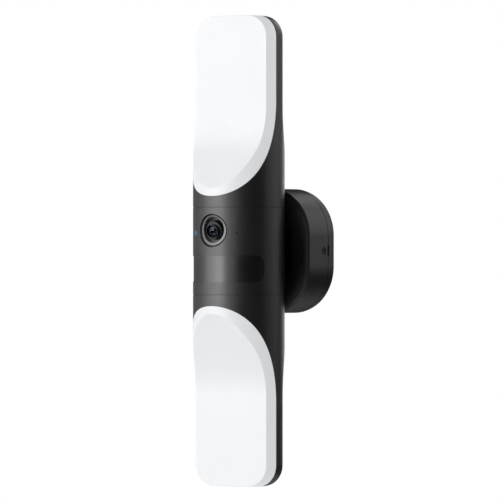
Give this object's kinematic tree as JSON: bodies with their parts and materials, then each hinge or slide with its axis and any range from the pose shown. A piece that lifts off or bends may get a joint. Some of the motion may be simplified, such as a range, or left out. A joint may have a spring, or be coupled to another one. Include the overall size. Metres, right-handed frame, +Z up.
{
  "type": "floodlight security camera",
  "caption": "Wall-mounted security camera in an upright light bar: curved white lamps above and below a camera and motion sensor, on a rounded-square swivel mount.",
  "frame": {"origin": "centre of the wall bracket's screw slots, on the wall", "axes": "+Y into the wall, so the camera looks along -Y; +Z up along the light bar; +X to the right seen from the front"},
  "size_m": [0.106, 0.1106, 0.41],
  "materials": {
    "housing_black": "fine matte moulded plastic",
    "diffuser_white": "satin translucent white",
    "window_black": "gloss, smoked",
    "lens_ring_grey": "satin anodised grey",
    "lens_black": "deep matte black",
    "lens_glass": "coated optical glass",
    "steel": "zinc plated",
    "swivel_metal": "black powder coat",
    "aluminium": "plain",
    "board_green": "solder mask",
    "board_white": "white solder mask",
    "led_yellow": "phosphor",
    "component_black": "moulded",
    "component_metal": "tinned",
    "copper": "enamelled wire",
    "rubber_black": "matte",
    "status_blue": "clear light pipe, lit blue",
    "terminal_grey": "moulded"
  },
  "bodies": {
    "wall_mount": {"wall_bracket": "steel", "mount_gasket": "rubber_black", "mount_base": "housing_black", "mount_shroud": "housing_black", "shroud_screws": "steel", "side_lock_screw": "swivel_metal", "cable_grommet": "rubber_black", "terminal_block": "terminal_grey", "driver_board": "board_green", "driver_screws": "steel", "driver_transformer": "component_black", "driver_capacitors": "component_metal", "driver_choke": "copper", "pivot_clevis": "swivel_metal", "clevis_screws": "steel", "pivot_pin": "steel", "pivot_nut": "steel", "friction_washers": "rubber_black"},
    "light_bar": {"hinge_tongue": "swivel_metal", "upper_diffuser": "diffuser_white", "lower_diffuser": "diffuser_white", "upper_led_board": "board_white", "lower_led_board": "board_white", "diffuser_seals": "rubber_black", "heat_plates": "aluminium", "led_chips": "led_yellow", "led_board_screws": "steel", "upper_lamp_housing": "housing_black", "lower_lamp_housing": "housing_black", "camera_housing": "housing_black", "motion_sensor_window": "window_black", "motion_sensor_board": "board_green", "motion_sensors": "component_metal", "lens_ring": "lens_ring_grey", "lens_bowl": "lens_black", "lens_barrel": "lens_black", "lens_front_glass": "lens_glass", "lens_inner_element": "lens_glass", "lens_holder": "component_black", "sensor_board": "board_green", "image_sensor": "component_black", "status_light_pipe": "status_blue", "status_led": "led_yellow", "microphone": "rubber_black", "speaker": "component_black", "wifi_antenna": "copper", "chassis_frame": "aluminium", "main_board": "board_green", "chassis_screws": "steel", "board_components": "component_metal", "rear_cover": "housing_black", "rear_cover_screws": "steel", "module_seals": "rubber_black", "module_screws": "steel", "lamp_harness": "component_black", "button_seal": "rubber_black", "button_board": "board_green", "tact_switch": "component_black"},
    "button": {"sync_button": "rubber_black"}
  },
  "joints": [
    {"name": "bar_pan", "type": "hinge", "parent": "wall_mount", "child": "light_bar", "pos_m": [0, -0.033, 0], "axis": [0, 0, 1], "range_deg": [-8, 8]},
    {"name": "sync_press", "type": "slide", "parent": "light_bar", "child": "button", "axis": [0, -1, 0], "range_m": [0, 0.0008], "stiffness_N_per_m": 400, "springref_m": -0.001}
  ]
}
